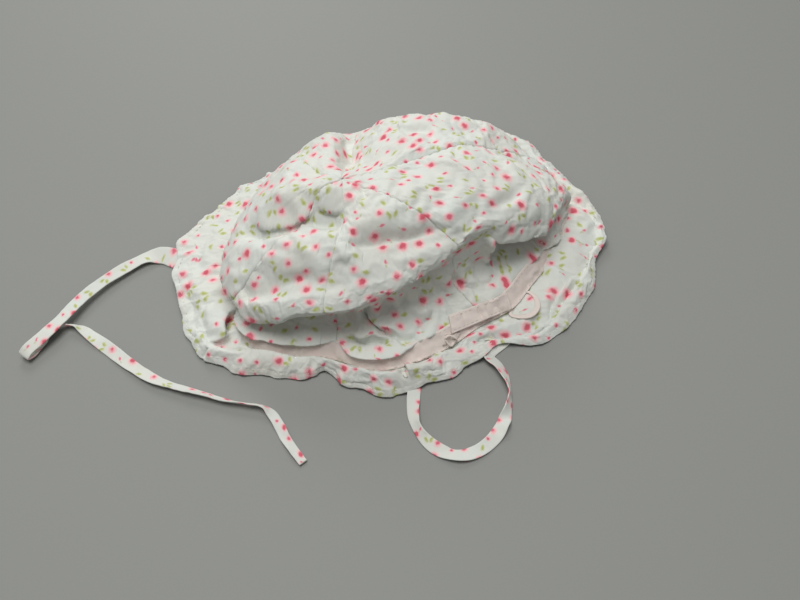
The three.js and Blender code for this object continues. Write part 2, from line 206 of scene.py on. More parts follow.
RIGHT_ROUTE = (
    (82.1, -20.5, 4), (75.6, -32.5, 2.2), (68.3, -46.3, 1.4), (59.1, -60.1, FLAT),
    (49.1, -71.9, FLAT), (53.5, -78, FLAT), (56.7, -85.2, FLAT), (58, -93.6, FLAT),
    (56.5, -101.5, FLAT), (53.2, -110.3, FLAT), (47.9, -118, FLAT), (40.6, -123.6, FLAT),
    (31.6, -125.8, FLAT), (22.8, -123.1, FLAT), (16.4, -118, FLAT), (12.4, -111.9, FLAT),
    (10.7, -105, FLAT), (10.7, -97.4, FLAT), (11.4, -89.7, FLAT), (11.7, -78.5, FLAT),
    (9.4, -66.5, FLAT), (2.9, -56.4, FLAT), (-7.2, -50, FLAT), (-19.1, -47.2, FLAT),
    (-32, -46.3, FLAT), (-44.9, -43.5, FLAT), (-55.9, -37.1, FLAT), (-63.3, -27.9, FLAT),
)

# How each tie turns along its length: the point of its route, its turn in degrees from flat, and
# its width in millimetres
LEFT_TURNS = (
    (0, 0, 9), (2, 3, 11.8), (3, 8, 12), (4.1, 12, 10), (5.5, -10, 7.2), (7, 12, 6.4), (9, -6, 6.6),
    (10.5, 8, 6.8), (12, 0, 7), (14, 0, 6.8), (15, 35, 5.4), (16.2, 68, 4.4), (17.4, 60, 4.6),
    (18.5, 22, 6), (20, -14, 6.6), (21.5, 12, 6.4), (23, 30, 5.4), (24.5, 52, 4.6),
    (26, 62, 4.4), (27.2, 60, 4.6), (28.4, 20, 5.4), (29.6, -22, 5), (31, 18, 4.8), (32, 0, 4.2),
)
RIGHT_TURNS = (
    (0, 0, 7), (3, 10, 8), (4, 24, 7.4), (5.5, 38, 6.4), (7, 70, 5), (8, 46, 5.6), (9, -24, 6.6),
    (10, 12, 6.6), (12, -14, 6.6), (13.4, 20, 6.4), (15, 46, 5.4), (16.2, 26, 6.2), (17.6, -12, 7),
    (19, 0, 7), (27, 0, 6.6),
)


def running(line, power=1):
    """How far along a line of points each of them is, with every step raised to a power."""
    return np.concatenate([[0], np.cumsum(np.linalg.norm(np.diff(line, axis=0), axis=1) ** power)])


def between(a, b, start, end, t):
    """The value at t on the straight run from a at the start to b at the end."""
    return (end - t) / (end - start) * a + (t - start) / (end - start) * b


def smooth_path(route, step):
    """Points on a smooth line through the route, evenly spaced, each one's place in the route, and
    the line's length."""
    points = np.array(route, float)
    points = np.vstack([2 * points[0] - points[1], points, 2 * points[-1] - points[-2]])
    knots = running(points, 0.5)
    line = []
    places = []
    for k in range(1, len(points) - 2):
        t0, t1, t2, t3 = knots[k - 1 : k + 3]
        t = np.linspace(t1, t2, 24, endpoint=False)[:, None]
        p0, p1, p2, p3 = points[k - 1 : k + 3]
        a1 = between(p0, p1, t0, t1, t)
        a2 = between(p1, p2, t1, t2, t)
        a3 = between(p2, p3, t2, t3, t)
        b1 = between(a1, a2, t0, t2, t)
        b2 = between(a2, a3, t1, t3, t)
        line.append(between(b1, b2, t1, t2, t))
        places.append(k - 1 + (t[:, 0] - t1) / (t2 - t1))
    line = np.vstack(line + [points[-2:-1]])
    places = np.concatenate(places + [[len(route) - 1]])
    run = running(line)
    even = np.linspace(0, run[-1], int(run[-1] / step) + 1)
    spots = np.stack([np.interp(even, run, line[:, k]) for k in range(3)], -1)
    return spots, np.interp(even, run, places), run[-1]


STEEP = 0.35  # a line that is less level than this keeps the direction across it from before


def level_frames(line):
    """For each point of a line, the level direction across it and the upward one."""
    along = np.gradient(line, axis=0)
    along /= np.linalg.norm(along, axis=1)[:, None]
    across = np.empty_like(along)
    last = np.cross(np.array([0.0, 0.0, 1.0]), along[0])
    for k, way in enumerate(along):
        level = np.array([-way[1], way[0], 0.0])
        if np.linalg.norm(level) > STEEP:
            level *= np.sign(level @ last)
        else:
            level = last - way * (last @ way)
        last = level / np.linalg.norm(level)
        across[k] = last
    return across, np.cross(across, along)


# The cloth's surface


def ramp(x, start, end):
    """Grows smoothly from 0 at the start to 1 at the end."""
    t = np.clip((x - start) / (end - start), 0, 1)
    return t * t * (3 - 2 * t)


def bell(x, middle, half_width):
    return np.exp(-(((x - middle) / half_width) ** 2))


def apart(direction, other):
    """How far a direction is from another one, from -180 to 180 degrees."""
    return (direction - other + 180) % TURN - 180


def hermite(a, slope_a, b, slope_b, span, t):
    t2 = t * t
    t3 = t2 * t
    return (
        (2 * t3 - 3 * t2 + 1) * a
        + (t3 - 2 * t2 + t) * span * slope_a
        + (3 * t2 - 2 * t3) * b
        + (t3 - t2) * span * slope_b
    )


def section_at(table, direction):
    """The table's columns at each direction, smooth between its rows and round the whole turn."""
    columns, rows = table
    rows = np.array(rows, float)
    angle = np.mod(direction - rows[0, 0], TURN) + rows[0, 0]
    values = np.vstack([rows[-1:], rows, rows[:2]])
    places = values[:, 0].copy()
    places[0] -= TURN
    places[-2:] += TURN
    slopes = (values[2:] - values[:-2]) / (places[2:] - places[:-2])[:, None]
    low = np.clip(np.searchsorted(places, angle, side="right") - 1, 1, len(places) - 3)
    span = places[low + 1] - places[low]
    t = (angle - places[low]) / span
    return {
        name: hermite(
            values[low, k], slopes[low - 1, k], values[low + 1, k], slopes[low, k], span, t
        )
        for k, name in enumerate(columns)
        if k > 0
    }


def stations_at(direction):
    """How far out and how high each station is, for each direction."""
    crown = section_at(CROWN_SECTIONS, direction)
    brim = section_at(BRIM_SECTIONS, direction)
    half_out = TAPE_WIDTH / 2 * math.cos(TAPE_SLOPE)
    half_up = TAPE_WIDTH / 2 * math.sin(TAPE_SLOPE)
    foot_up = np.maximum(crown["head_up"] - half_up, LOWEST_FOOT)
    foot_out = crown["head_out"] + half_out
    level = np.zeros_like(foot_out)
    outs = (
        level, crown["roll_out"] / 2, crown["roll_out"], crown["lip_out"], crown["tuck_out"],
        crown["head_out"] - half_out, crown["head_out"], foot_out,
        (foot_out + brim["groove_out"]) / 2, brim["groove_out"],
        (brim["groove_out"] + brim["hem_out"]) / 2, brim["hem_out"],
    )
    ups = (
        level + CROWN_POINT[2], crown["dome_up"], crown["roll_up"], crown["lip_up"],
        crown["tuck_up"], crown["head_up"] + half_up, crown["head_up"], foot_up,
        brim["puff_up"], brim["groove_up"], brim["band_up"], brim["hem_up"],
    )
    return np.stack([np.stack(outs, -1), np.stack(ups, -1)], -1)


def along_stations(stations, place):
    """Points on a smooth line through the stations, at places such as 2.5."""
    last = stations.shape[-2] - 1
    low = np.clip(np.floor(place).astype(int), 0, last - 1)
    lengths = np.linalg.norm(np.diff(stations, axis=-2), axis=-1)
    slopes = np.empty_like(stations)
    slopes[:, 1:-1] = (stations[:, 2:] - stations[:, :-2]) / (
        lengths[:, :-1] + lengths[:, 1:]
    )[..., None]
    slopes[:, 0] = (stations[:, 1] - stations[:, 0]) / lengths[:, :1]
    slopes[:, -1] = (stations[:, -1] - stations[:, -2]) / lengths[:, -1:]
    slopes[:, 0, 1] = 0
    row = np.arange(len(low))
    return hermite(
        stations[row, low], slopes[row, low], stations[row, low + 1], slopes[row, low + 1],
        lengths[row, low][:, None], (place - low)[:, None],
    )


def fold_lift(x, y):
    """How far the broad folds raise the top, at places in millimetres from the crown point."""
    lift = np.zeros_like(x)
    for from_x, from_y, to_x, to_y, half_width, rise in TOP_FOLDS:
        along_x = to_x - from_x
        along_y = to_y - from_y
        length = math.hypot(along_x, along_y)
        along = ((x - from_x) * along_x + (y - from_y) * along_y) / length
        past = np.maximum(0, np.maximum(-along, along - length))
        across = ((x - from_x) * along_y - (y - from_y) * along_x) / length
        lift += rise * np.exp(-(across**2 + past**2) / half_width**2)
    return lift


def gather_depth(direction):
    """How far the gathers above the head seam draw the cloth in."""
    angle = np.mod(direction, TURN)
    depth = np.zeros_like(angle)
    for start, end, count, deep in HEAD_GATHERS:
        share = (angle - start) / (end - start)
        ends = ramp(share, 0, 0.2) * ramp(share, 1, 0.8)
        wave = (1 - np.cos(share * count * 2 * math.pi)) / 2
        depth += np.where((share > 0) & (share < 1), deep * ends * wave, 0)
    return depth


def cloth_base(direction, place):
    """The smooth surface, as the solids have it but for the rows that differ."""
    out, up = along_stations(stations_at(direction), place).T
    turned = np.radians(direction)
    slow = np.sin(turned * 23)
    quick = np.sin(turned * 31)
    toward_hem = ramp(place, 8, 11)
    out = out + 0.7 * (slow + quick) * toward_hem
    up = up + 0.6 * slow * quick * toward_hem
    out = out - gather_depth(direction) * ramp(place, 3, 4.2) * ramp(place, 4.95, 4.35)
    x = out * np.cos(turned)
    y = out * np.sin(turned)
    up = up + fold_lift(x, y) * ramp(place, 0, 0.3) * ramp(place, 2.9, 2.1)
    return np.stack([CROWN_POINT[0] + x, CROWN_POINT[1] + y, up], -1)


def outward(surface, direction, place):
    """Unit normals of a surface given as a function of direction and place."""
    turn_step = 0.3
    place_step = 0.02
    around = surface(direction + turn_step, place) - surface(direction - turn_step, place)
    along = surface(direction, place + place_step) - surface(direction, place - place_step)
    normal = np.cross(along, around)
    return normal / np.linalg.norm(normal, axis=1)[:, None]


# Folds that the cloth has pressed or slumped into, as ridges (positive lift) and valleys. Each row
# has three points that the fold runs through, given as directions and places, its half widths on
# its left and on its right, its lift, and its lean, which moves its crest to the right. The hem is on
# the right of a fold that runs round the hat with growing directions.
FOLDS = (
    # the two plies that slump over each other under the crown point
    (187, 2.05, 210, 1.06, 226, 0.54, 5.5, 1.8, 3.0, 3.0),
    (190, 2.2, 210, 1.36, 224, 0.8, 1.8, 4.5, -2.6, 0.0),
    (229, 0.5, 248, 0.52, 277, 0.55, 4.5, 1.8, 2.2, 2.4),
    (228, 0.72, 248, 0.76, 280, 0.76, 1.8, 3.6, -2.0, 0.0),
    # soft valley above the front roll, and the roll's bright crest
    (216, 2.4, 236, 1.8, 258, 1.72, 4.2, 2.6, -2.8, 0.6),
    (224, 2.16, 250, 1.98, 292, 2.0, 2.4, 5.0, 1.6, 0.8),
    # valley over the right half of the roll
    (276, 1.26, 313, 1.5, 340, 1.76, 4.0, 2.4, -2.4, 0.8),
    (296, 1.8, 318, 1.86, 338, 2.0, 2.6, 4.0, 1.6, 0.6),
    # sharp lower edge of the roll, and the hollow behind it
    (227, 2.6, 256, 2.66, 288, 2.8, 5.0, 1.4, 1.4, 0.9),
    (224, 2.75, 234, 2.85, 251, 2.7, 4.0, 2.0, 1.3, 4.4),
    (284, 2.84, 312, 2.78, 344, 2.86, 5.0, 1.4, 1.6, 0.9),
    (230, 3.35, 256, 3.35, 286, 3.3, 2.2, 6.0, -4.8, 0.0),
    (282, 3.3, 306, 3.2, 330, 3.3, 2.2, 6.0, -4.2, 0.0),
    # lip above the right hollow, its left edge and the hollow itself
    (345, 2.86, 353, 2.96, 4, 3.1, 8.0, 2.6, 2.6, 7.0),
    (345, 3.6, 354, 3.85, 3, 4.2, 4.0, 7.5, -10.5, 0.0),
    (345, 3.0, 347, 3.6, 345, 4.35, 2.0, 2.4, 5.0, 0.0),
    (352, 3.4, 354, 3.7, 357, 4.2, 1.2, 1.2, 1.0, 0.0),
    (358, 3.4, 359, 3.7, 0, 4.2, 1.2, 1.2, 1.0, 0.0),
    # creases below the crown point and over the right seam
    (336, 0.3, 320, 0.5, 310, 0.7, 2.2, 1.6, -1.6, 0.0),
    (350, 0.4, 356, 0.9, 352, 1.4, 3.0, 3.0, -1.0, 0.0),
    (20, 1.0, 8, 1.3, 356, 1.5, 3.0, 2.0, 1.4, 0.6),
    (352, 1.7, 358, 1.85, 6, 1.9, 4.0, 2.4, -2.0, 0.0),
    (346, 2.1, 354, 2.3, 3, 2.3, 3.0, 3.0, 1.2, 0.0),
    # notch valley at the back, and the top's broad swells
    (93, 2.3, 88, 1.8, 84, 1.1, 4.0, 4.0, -1.8, 0.0),
    (60, 1.5, 44, 1.3, 30, 1.3, 4.0, 4.0, -1.6, 0.0),
    (120, 1.5, 140, 0.9, 158, 0.5, 3.0, 3.0, -1.2, 0.0),
    (152, 1.8, 168, 1.3, 182, 0.9, 3.0, 3.0, 1.2, 0.0),
    (222, 1.0, 240, 1.2, 252, 1.5, 3.0, 3.0, 1.2, 0.0),
    (205, 1.7, 218, 1.5, 228, 1.3, 3.0, 3.0, -1.0, 0.0),
    (262, 0.9, 268, 1.3, 280, 1.6, 3.0, 3.0, 1.2, 0.0),
    # front wall: the slanting crease and the bright facet beside it
    (283, 4.0, 290, 4.4, 297, 4.72, 3.6, 1.1, 1.9, 1.8),
    (282, 4.05, 289.5, 4.5, 296.5, 4.86, 0.9, 1.8, -4.6, 0.0),
    (293, 4.8, 298, 4.84, 303, 4.82, 1.1, 1.2, -4.4, 0.0),
    (300, 4.85, 307.5, 4.7, 315, 4.5, 1.2, 1.6, -2.6, 0.0),
    (303, 4.3, 309, 4.4, 313, 4.3, 2.0, 2.0, 1.8, 0.0),
    (309, 4.5, 312, 4.0, 316, 3.7, 1.4, 1.4, -2.0, 0.0),
    (272, 4.6, 282, 4.62, 292, 4.6, 3.0, 0.9, 1.4, 1.8),
    (270, 4.74, 282, 4.74, 294, 4.78, 1.1, 1.2, -5.2, 0.0),
    (318, 3.1, 322, 3.9, 324, 4.7, 2.6, 2.6, -1.8, 0.0),
    (330, 3.3, 334, 3.9, 336, 4.6, 2.6, 2.6, 1.8, 0.0),
    (336, 4.3, 340, 4.6, 345, 4.5, 1.6, 1.6, -1.6, 0.0),
    # the left brim ends in a fold that lies over the front roll, with a notch in its hem
    (220.5, 9.5, 221.5, 8.7, 222.5, 7.8, 4.0, 0.9, 2.0, 1.6),
    (222.6, 9.5, 223.6, 8.7, 224.6, 7.8, 0.9, 1.8, -2.2, 0.0),
    (222.4, 9.8, 223.4, 10.5, 224.0, 11.2, 1.0, 1.2, -2.2, 0.0),
    (208, 8.4, 215, 8.6, 220, 8.9, 4.0, 3.0, 2.2, 0.0),
    # valley behind the front roll of the brim, and the roll's crest
    (223, 9.2, 231, 8.9, 238, 7.5, 1.1, 1.1, -3.0, 0.0),
    (228, 9.9, 244, 8.9, 262, 7.9, 2.2, 2.6, 1.4, -1.6),
    (264, 7.4, 276, 7.8, 288, 8.8, 2.2, 3.0, 1.0, -1.0),
    # pleat in the front brim
    (294.6, 7.1, 294.0, 8.1, 292.8, 10.2, 3.0, 1.0, 2.2, 2.0),
    (292.8, 7.2, 292, 8.2, 290.6, 10.0, 0.9, 2.0, -3.8, 0.0),
    # fold line between the brim and its outer strip, on the right and along the front
    (3, 9.9, 357, 9.6, 351, 8.95, 4.0, 0.7, 1.7, 1.6),
    (3, 10.1, 357, 9.9, 351, 9.3, 0.7, 1.6, -2.4, 0.0),
    (353, 8.95, 344, 8.8, 335, 9.4, 4.0, 0.7, 1.9, 1.8),
    (353, 9.3, 344, 9.15, 335, 9.75, 0.7, 1.6, -2.6, 0.0),
    (338, 9.3, 326, 9.7, 312, 8.8, 4.0, 0.8, 1.9, 2.0),
    (338, 9.65, 326, 10.1, 312, 9.2, 0.7, 1.4, -2.6, 0.0),
    (352, 7.8, 344, 7.8, 335, 8.2, 3.0, 3.0, -1.2, 0.0),
    # dark slit between the crown and the outer strip of the brim at the upper right
    (33, 2.42, 25, 2.64, 17, 2.9, 1.0, 1.0, -6.5, 0.0),
    (24, 7.2, 20, 7.95, 15.5, 9.9, 1.3, 1.2, -5.0, 0.0),
    # outer strip at the upper right stands up behind the crown
    (12, 10.2, 20, 9.9, 32, 9.7, 4.0, 4.0, 3.0, -1.0),
    # left brim: soft swells
    (165, 8.6, 180, 9.2, 192, 8.6, 3.0, 3.0, -1.2, 0.0),
    (190, 9.4, 202, 8.9, 212, 9.3, 3.0, 3.0, 1.2, 0.0),
    (196, 10.2, 206, 9.9, 216, 9.9, 2.0, 2.4, -1.4, 0.0),
)

# Folds of the crown and the brim that lie over the tape, which stays where it is
OVER_TAPE = (
    # the wall slumps over the upper half of the tape along the front
    (206, 4.85, 238, 4.85, 276, 4.86, 4.5, 2.4, 2.8, 6.4),
    (212, 4.9, 225, 4.9, 239, 4.9, 3.5, 2.0, 0.8, 3.4),
    (267, 4.95, 284, 5.0, 301, 4.92, 2.8, 2.2, 3.9, 5.0),
    (294, 4.95, 302, 4.9, 312, 4.95, 2.6, 2.2, 1.8, 2.4),
    # crown and brim crumple over the tape at the right
    (347, 4.9, 4, 4.8, 26, 4.7, 4.5, 2.4, 2.8, 7.0),
    (347, 7.4, 6, 7.3, 28, 7.3, 2.8, 5.5, 5.6, -8.0),
    # the brim laps over the tape at the left
    (150, 7.6, 182, 7.55, 212, 7.4, 3.0, 6.0, 3.4, -5.6),
    (125, 7.7, 142, 7.7, 158, 7.7, 3.0, 5.0, 2.0, -3.0),
    # rolled fold beside the tape at the front left, and the dark slit behind it
    (209, 7.3, 218, 7.35, 228, 7.35, 1.8, 2.0, 2.4, -4.4),
    (212.5, 7.4, 217.5, 8.15, 223, 8.4, 0.9, 4.0, 2.2, -2.6),
    (213, 7.0, 217.5, 7.65, 222.5, 7.9, 1.2, 0.8, -5.5, 0.0),
    (235, 7.7, 244, 7.25, 257, 7.2, 1.0, 1.2, -2.4, 0.0),
)
FOLD_STEPS = 14
FOLD_REACH = 2.4  # how far a fold is felt, in half widths
FOLD_FADE = 0.28  # share of a fold's length over which it grows at each end


def fold_line(row):
    """A fold's points on the smooth surface, with its outward and its right-hand directions."""
    share = np.linspace(0, 1, FOLD_STEPS + 1)
    parts = (
        2 * (share - 0.5) * (share - 1),
        4 * share * (1 - share),
        2 * share * (share - 0.5),
    )
    near = row[0]
    turns = [near] + [near + apart(turn, near) for turn in (row[2], row[4])]
    direction = sum(part * turn for part, turn in zip(parts, turns))
    place = sum(part * at for part, at in zip(parts, (row[1], row[3], row[5])))
    points = cloth_base(direction, place)
    out = outward(cloth_base, direction, place)
    way = np.gradient(points, axis=0)
    right = np.cross(way, out)
    return points, out, right / np.linalg.norm(right, axis=1)[:, None]


FOLD_ROWS = FOLDS + OVER_TAPE
FOLD_LINES = [fold_line(row) for row in FOLD_ROWS]


def fold_shift(points, under_folds=False):
    """How far the folds move points of the smooth surface. The tape lies under some of them."""
    shift = np.zeros_like(points)
    count = len(FOLDS) if under_folds else len(FOLD_ROWS)
    for row, (line, out, right) in zip(FOLD_ROWS[:count], FOLD_LINES):
        left_width, right_width, lift, lean = row[6:]
        reach = FOLD_REACH * max(left_width, right_width)
        low = line.min(axis=0) - reach
        high = line.max(axis=0) + reach
        near = np.flatnonzero(((points > low) & (points < high)).all(axis=1))
        if not len(near):
            continue
        spots = points[near][:, None, :]
        start = line[:-1][None]
        step = np.diff(line, axis=0)[None]
        share = np.clip(((spots - start) * step).sum(-1) / (step**2).sum(-1), 0, 1)
        gap = spots - start - step * share[..., None]
        far = np.linalg.norm(gap, axis=2)
        best = far.argmin(axis=1)
        each = np.arange(len(near))
        distance = far[each, best]
        side = (gap[each, best] * right[best]).sum(-1)
        width = np.where(side > 0, right_width, left_width)
        along = (best + share[each, best]) / FOLD_STEPS
        ends = ramp(along, 0, FOLD_FADE) * ramp(along, 1, 1 - FOLD_FADE)
        amount = (bell(distance, 0, width) * ends)[:, None]
        shift[near] += amount * (lift * out[best] + lean * right[best])
    return shift


def value_noise(points, size, seed):
    """Smooth noise from -1 to 1 with bumps of about the given size in millimetres."""
    lattice = np.random.default_rng(seed).uniform(-1, 1, (32, 32, 32))
    scaled = points / size + 100.0
    cell = np.floor(scaled).astype(int)
    part = scaled - cell
    part = part * part * (3 - 2 * part)
    total = np.zeros(len(points))
    for corner in range(8):
        offset = np.array([corner & 1, corner >> 1 & 1, corner >> 2])
        weight = np.where(offset, part, 1 - part).prod(axis=1)
        x, y, z = ((cell + offset) % 32).T
        total += weight * lattice[x, y, z]
    return total


# Places where the cloth is crushed more than elsewhere: direction, place, radius and strength
CRUSHED = (
    (6, 5.6, 15, 2.2),
    (2, 3.6, 16, 1.4),
    (300, 4.7, 14, 1.6),
    (326, 4.7, 14, 1.2),
    (352, 5.0, 14, 1.6),
    (274, 4.7, 10, 1.2),
    (222, 6.5, 12, 1.0),
    (20, 8.5, 22, 1.0),
    (330, 7.6, 14, 1.2),
)


def crinkle(points):
    """Small dents of cotton that has been washed and never ironed."""
    fine = np.ones(len(points))
    for direction, place, radius, strength in CRUSHED:
        middle = cloth_base(np.array([float(direction)]), np.array([float(place)]))[0]
        away = ((points - middle) ** 2).sum(axis=1)
        fine += strength * np.exp(-away / radius**2)
    return fine * (
        0.5 * value_noise(points, 10.0, 3)
        - 0.5 * np.abs(value_noise(points, 6.5, 5))
        - 0.3 * np.abs(value_noise(points, 3.6, 8))
    )


def above_floor(points, least=0.32, blend=0.35):
    """Lifts low points softly, so that none is under the least height."""
    over = (points[:, 2] - least) / blend
    points[:, 2] = least + blend * np.logaddexp(0, over)
    return points


def cloth(direction, place, lift=0.0, under_folds=False):
    """Points of the crumpled cloth, raised from it by a lift."""
    base = cloth_base(direction, place)
    out = outward(cloth_base, direction, place)
    height = crinkle(base) + lift
    return above_floor(base + fold_shift(base, under_folds) + out * height[:, None])


# Flat cloth


RELAXING = 1.6  # how far a point moves in a round, compared with what its links ask for


def flatten(points, flat, rounds=500):
    """Relaxes a grid's flat layout until its edges are as long as they are on the surface."""
    flat = flat.copy()
    count = np.zeros(points.shape[:2])
    links = []
    whole = slice(None)
    head = slice(None, -1)
    tail = slice(1, None)
    for one, two in (
        ((whole, head), (whole, tail)),
        ((head, whole), (tail, whole)),
        ((head, head), (tail, tail)),
        ((head, tail), (tail, head)),
    ):
        links.append((one, two, np.linalg.norm(points[two] - points[one], axis=-1)))
        count[one] += 1
        count[two] += 1
    for _ in range(rounds):
        move = np.zeros_like(flat)
        for one, two, length in links:
            gap = flat[two] - flat[one]
            now = np.maximum(np.linalg.norm(gap, axis=-1), 1e-6)
            pull = gap * (0.5 * (now - length) / now)[..., None]
            move[one] += pull
            move[two] -= pull
        flat += RELAXING * move / count[..., None]
    return flat


def unit_grid(rows, columns):
    """The shares u along the columns and v along the rows of a grid, both from 0 to 1."""
    v, u = np.meshgrid(np.linspace(0, 1, rows), np.linspace(0, 1, columns), indexing="ij")
    return u, v


def lengths(points, axis):
    """Running lengths of a grid of points along one of its axes, from 0."""
    steps = np.linalg.norm(np.diff(points, axis=axis), axis=-1)
    start = np.zeros_like(points[:1, :, 0] if axis == 0 else points[:, :1, 0])
    return np.concatenate([start, np.cumsum(steps, axis=axis)], axis=axis)


def spread(grid, u, v):
    """A coarse grid's values at u along its columns and v along its rows, both from 0 to 1."""
    rows, columns = grid.shape[:2]
    x = u * (columns - 1)
    y = v * (rows - 1)
    i = np.minimum(x.astype(int), columns - 2)
    j = np.minimum(y.astype(int), rows - 2)
    x = (x - i)[:, None]
    y = (y - j)[:, None]
    return (grid[j, i] * (1 - x) + grid[j, i + 1] * x) * (1 - y) + (
        grid[j + 1, i] * (1 - x) + grid[j + 1, i + 1] * x
    ) * y


# Mesh helpers


def mesh_from(form, name):
    """The mesh of a finished bmesh."""
    mesh = bpy.data.meshes.new(name)
    form.to_mesh(mesh)
    form.free()
    return mesh


def points_of(mesh):
    spots = np.empty(len(mesh.vertices) * 3)
    mesh.vertices.foreach_get("co", spots)
    return spots.reshape(-1, 3)


def smooth_piece(name, mesh):
    mesh.polygons.foreach_set("use_smooth", [True] * len(mesh.polygons))
    return add_object(name, mesh)


def grid_piece(name, columns, rows, shape, flip=True, closed=False, hold=None):
    """A sheet from a plain grid. shape(u, v) gives each point and its place on the flat cloth, both
    in millimetres, for u and v from 0 to 1. hold(u, v) is how firmly a point stays in place when
    the cloth buckles."""
    form = bmesh.new()
    bmesh.ops.create_grid(form, x_segments=columns, y_segments=rows, size=1)
    if flip:
        bmesh.ops.reverse_faces(form, faces=form.faces)
    mesh = mesh_from(form, name)
    spots = points_of(mesh)
    u = (spots[:, 0] + 1) / 2
    v = (spots[:, 1] + 1) / 2
    points, flat = shape(u, v)
    mesh.vertices.foreach_set("co", (points * MM).ravel())
    corner = np.empty(len(mesh.loops), int)
    mesh.loops.foreach_get("vertex_index", corner)
    layer = mesh.uv_layers.new(name="cloth")
    layer.data.foreach_set("uv", flat[corner].ravel())
    if hold is not None:
        firm = mesh.attributes.new("hold", "FLOAT", "POINT")
        firm.data.foreach_set("value", np.clip(hold(u, v), 0, 1))
    if closed:
        form = bmesh.new()
        form.from_mesh(mesh)
        bmesh.ops.remove_doubles(form, verts=form.verts, dist=1e-6)
        form.to_mesh(mesh)
        form.free()
    piece = smooth_piece(name, mesh)
    if hold is not None:
        buckle(piece)
    return piece


def thicken(piece, thickness):
    wall = piece.modifiers.new("thickness", "SOLIDIFY")
    wall.thickness = thickness * MM
    wall.offset = 0.0


SLACK = 0.04  # how much longer the cloth is than the form that it is pressed into
SIMULATED_FRAMES = 11
HOLD_LEVELS = 50
CLOTH_SETTINGS = {
    "quality": 4,
    "mass": 0.15,
    "tension_stiffness": 40,
    "compression_stiffness": 40,
    "shear_stiffness": 20,
    "bending_stiffness": 0.4,
    "tension_damping": 8,
    "compression_damping": 8,
    "shear_damping": 8,
    "bending_damping": 0.5,
    "air_damping": 4,
    "pin_stiffness": 1.0,
    "shrink_min": -SLACK,
}


def buckle(piece):
    """Lets the cloth, a little too long for its form, buckle into wrinkles. Its attribute hold is how
    firmly each point stays where it is, from 0 to 1."""
    hold = np.empty(len(piece.data.vertices))
    piece.data.attributes["hold"].data.foreach_get("value", hold)
    levels = np.round(hold * HOLD_LEVELS).astype(int)
    group = piece.vertex_groups.new(name="hold")
    for level in np.unique(levels):
        members = np.flatnonzero(levels == level)
        group.add([int(k) for k in members], float(level) / HOLD_LEVELS, "REPLACE")
    modifier = piece.modifiers.new("slack", "CLOTH")
    modifier.settings.vertex_group_mass = "hold"
    for setting, value in CLOTH_SETTINGS.items():
        setattr(modifier.settings, setting, value)
    modifier.settings.effector_weights.gravity = 0
    modifier.collision_settings.use_collision = False
    modifier.collision_settings.use_self_collision = False
    modifier.point_cache.frame_start = 1
    modifier.point_cache.frame_end = SIMULATED_FRAMES
    for moment in range(1, SIMULATED_FRAMES + 1):
        bpy.context.scene.frame_set(moment)
    shaped = piece.evaluated_get(bpy.context.evaluated_depsgraph_get())
    settled = above_floor(points_of(shaped.data) / MM) * MM
    piece.modifiers.remove(modifier)
    piece.vertex_groups.remove(group)
    piece.data.vertices.foreach_set("co", settled.ravel())
    piece.data.update()
    bpy.context.scene.frame_set(1)


# Colours and materials


def linear(hexcode):
    channels = [int(hexcode[k : k + 2], 16) / 255 for k in (1, 3, 5)]
    return tuple(
        c / 12.92 if c <= 0.04045 else ((c + 0.055) / 1.055) ** 2.4 for c in channels
    ) + (1.0,)


def new_material(name, roughness, sheen=0.0):
    material = bpy.data.materials.new(name)
    material.use_nodes = True
    shader = material.node_tree.nodes["Principled BSDF"]
    shader.inputs["Roughness"].default_value = roughness
    shader.inputs["Sheen Weight"].default_value = sheen
    shader.inputs["Specular IOR Level"].default_value = 0.25
    return material, shader


def add_node(material, kind, settings=None, **links):
    """Adds a node with its settings. A link's value is a socket or a plain value, and its name is
    the input's name, or in_ and the input's number."""
    node = material.node_tree.nodes.new("ShaderNode" + kind)
    for key, value in (settings or {}).items():
        setattr(node, key, value)
    for key, value in links.items():
        socket = node.inputs[int(key[3:])] if key.startswith("in_") else node.inputs[key]
        if isinstance(value, bpy.types.NodeSocket):
            material.node_tree.links.new(value, socket)
        else:
            socket.default_value = value
    return node


def add_noise(material, flat, scale, detail):
    return add_node(
        material, "TexNoise", {"noise_dimensions": "2D"}, Vector=flat, Scale=scale, Detail=detail
    )


def add_ribs(material, flat, way, scale, distortion):
    """Soft ridges across a direction of the flat cloth."""
    settings = {"bands_direction": way}
    node = add_node(material, "TexWave", settings, Vector=flat, Scale=scale, Distortion=distortion)
    return node.outputs[1]


def lay_on(material, shader, colour, height, strength, distance):
    """Gives the shader its colour and a bump of a height and a distance in millimetres."""
    bump = add_node(material, "Bump", Height=height, Strength=strength, Distance=distance * MM)
    material.node_tree.links.new(colour, shader.inputs["Base Color"])
    material.node_tree.links.new(bump.outputs[0], shader.inputs["Normal"])


def plain_material(name, roughness, hexcode):
    material, shader = new_material(name, roughness)
    shader.inputs["Base Color"].default_value = linear(hexcode)
    return material


def mix_colours(material, share, under, over):
    """The colour over laid on the colour under by a share, each a socket or a plain value."""
    node = add_node(material, "Mix", {"data_type": "RGBA"}, in_0=share, in_6=under, in_7=over)
    return node.outputs[2]


MOTIF_SPACING = 8.4  # from one motif to the next, in millimetres
MOTIF_WOBBLE = 1.6  # the motifs' outlines waver within this many millimetres
MOTIF_DISORDER = 0.72  # 0 sets the motifs in rows
WEAVE_SCALE = 1 / 1.1  # threads about 0.35 mm apart, wider than real ones so that they show


